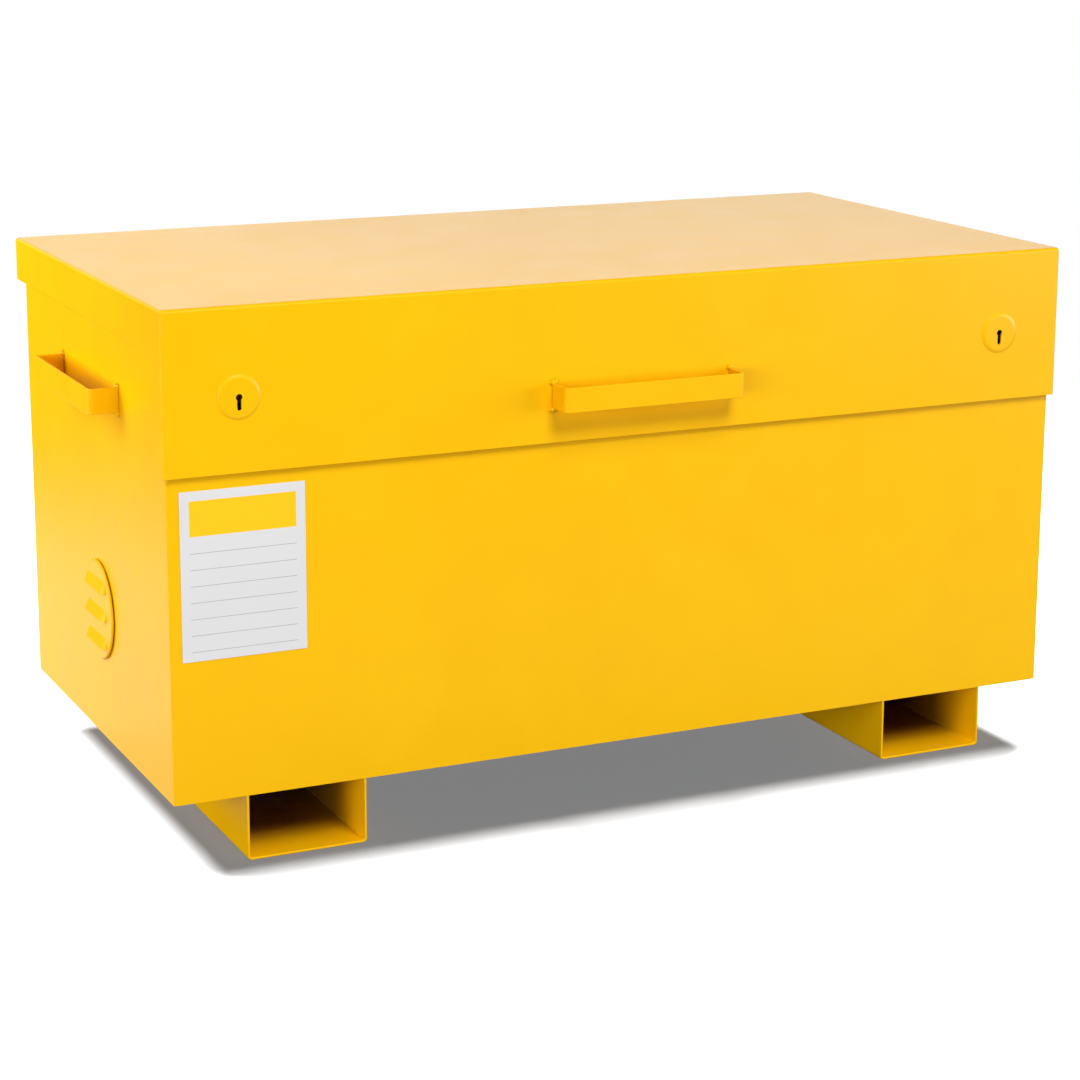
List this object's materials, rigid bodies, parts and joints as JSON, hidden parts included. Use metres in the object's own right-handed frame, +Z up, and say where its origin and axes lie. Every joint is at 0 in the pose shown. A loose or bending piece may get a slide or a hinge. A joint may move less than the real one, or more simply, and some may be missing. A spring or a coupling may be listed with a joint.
{
  "type": "chemical storage box",
  "caption": "Yellow steel storage box with a deep-fronted lid on gas struts, side vents, strap handles, key locks and fork skids.",
  "frame": {"origin": "middle of the footprint, on the floor under the skids", "axes": "+X to the right along the front, +Y from front to rear, +Z up"},
  "size_m": [1.345, 0.7074, 0.7],
  "materials": {
    "yellow_paint": "semi-gloss powder coat",
    "black_rubber": "matte",
    "zinc_steel": "zinc plated",
    "brass": "satin",
    "black_paint": "satin black paint",
    "chrome": "polished",
    "label_vinyl": "smooth vinyl"
  },
  "bodies": {
    "body": {"front_panel": "yellow_paint", "rear_panel": "yellow_paint", "side_panel_left": "yellow_paint", "side_panel_right": "yellow_paint", "floor_tray": "yellow_paint", "skid_left": "yellow_paint", "skid_right": "yellow_paint", "side_handle_left": "yellow_paint", "side_handle_right": "yellow_paint", "vent_disc_left": "yellow_paint", "vent_disc_right": "yellow_paint", "vent_gasket_left": "black_rubber", "vent_gasket_right": "black_rubber", "blank_label": "label_vinyl", "lock_keeper_left": "zinc_steel", "lock_keeper_right": "zinc_steel", "lid_buffer_left": "black_rubber", "lid_buffer_right": "black_rubber", "hinge_leaf_body_1": "yellow_paint", "hinge_leaf_body_2": "yellow_paint", "hinge_leaf_body_3": "yellow_paint", "hinge_pin_1": "zinc_steel", "hinge_pin_2": "zinc_steel", "hinge_pin_3": "zinc_steel", "strut_base_left": "zinc_steel", "strut_base_right": "zinc_steel"},
    "lid": {"lid_shell": "yellow_paint", "lid_stiffener_left": "yellow_paint", "lid_stiffener_right": "yellow_paint", "front_handle": "yellow_paint", "lock_rose_left": "yellow_paint", "lock_rose_right": "yellow_paint", "lock_case_left": "zinc_steel", "lock_case_right": "zinc_steel", "lock_cover_left": "zinc_steel", "lock_cover_right": "zinc_steel", "lever_pack_left": "brass", "lever_pack_right": "brass", "hinge_leaf_lid_1": "yellow_paint", "hinge_leaf_lid_2": "yellow_paint", "hinge_leaf_lid_3": "yellow_paint", "strut_head_left": "zinc_steel", "strut_head_right": "zinc_steel"},
    "curtain_left": {"lock_curtain_left": "brass"},
    "bolt_left": {"lock_bolt_left": "zinc_steel"},
    "tube_left": {"strut_tube_left": "black_paint", "strut_gland_left": "zinc_steel"},
    "rod_left": {"strut_rod_left": "chrome"},
    "curtain_right": {"lock_curtain_right": "brass"},
    "bolt_right": {"lock_bolt_right": "zinc_steel"},
    "tube_right": {"strut_tube_right": "black_paint", "strut_gland_right": "zinc_steel"},
    "rod_right": {"strut_rod_right": "chrome"}
  },
  "joints": [
    {"name": "lid_hinge", "type": "hinge", "parent": "body", "child": "lid", "pos_m": [0, 0.33785, 0.648], "axis": [-1, 0, 0], "range_deg": [0, 85]},
    {"name": "key_turn_left", "type": "hinge", "parent": "lid", "child": "curtain_left", "pos_m": [-0.542, -0.298, 0.589], "axis": [0, -1, 0], "range_deg": [0, 360]},
    {"name": "bolt_slide_left", "type": "slide", "parent": "lid", "child": "bolt_left", "axis": [-1, 0, 0], "range_m": [0, 0.016]},
    {"name": "strut_foot_left", "type": "hinge", "parent": "body", "child": "tube_left", "pos_m": [-0.603, 0.23633, 0.3657], "axis": [-1, 0, 0], "range_deg": [0, 42.5]},
    {"name": "strut_head_left", "type": "hinge", "parent": "lid", "child": "rod_left", "pos_m": [-0.603, 0.03889, 0.673], "axis": [-1, 0, 0], "range_deg": [-42.5, 0]},
    {"name": "key_turn_right", "type": "hinge", "parent": "lid", "child": "curtain_right", "pos_m": [0.542, -0.298, 0.589], "axis": [0, 1, 0], "range_deg": [0, 360]},
    {"name": "bolt_slide_right", "type": "slide", "parent": "lid", "child": "bolt_right", "axis": [1, 0, 0], "range_m": [0, 0.016]},
    {"name": "strut_foot_right", "type": "hinge", "parent": "body", "child": "tube_right", "pos_m": [0.603, 0.23633, 0.3657], "axis": [-1, 0, 0], "range_deg": [0, 42.5]},
    {"name": "strut_head_right", "type": "hinge", "parent": "lid", "child": "rod_right", "pos_m": [0.603, 0.03889, 0.673], "axis": [-1, 0, 0], "range_deg": [-42.5, 0]}
  ],
  "couplings": [
    {"joint": "key_turn_left", "follows": "bolt_slide_left", "rad_per_m": 392.7},
    {"joint": "strut_foot_left", "follows": "lid_hinge", "ratio": 0.5},
    {"joint": "strut_head_left", "follows": "lid_hinge", "ratio": -0.5},
    {"joint": "key_turn_right", "follows": "bolt_slide_right", "rad_per_m": 392.7},
    {"joint": "strut_foot_right", "follows": "lid_hinge", "ratio": 0.5},
    {"joint": "strut_head_right", "follows": "lid_hinge", "ratio": -0.5}
  ]
}
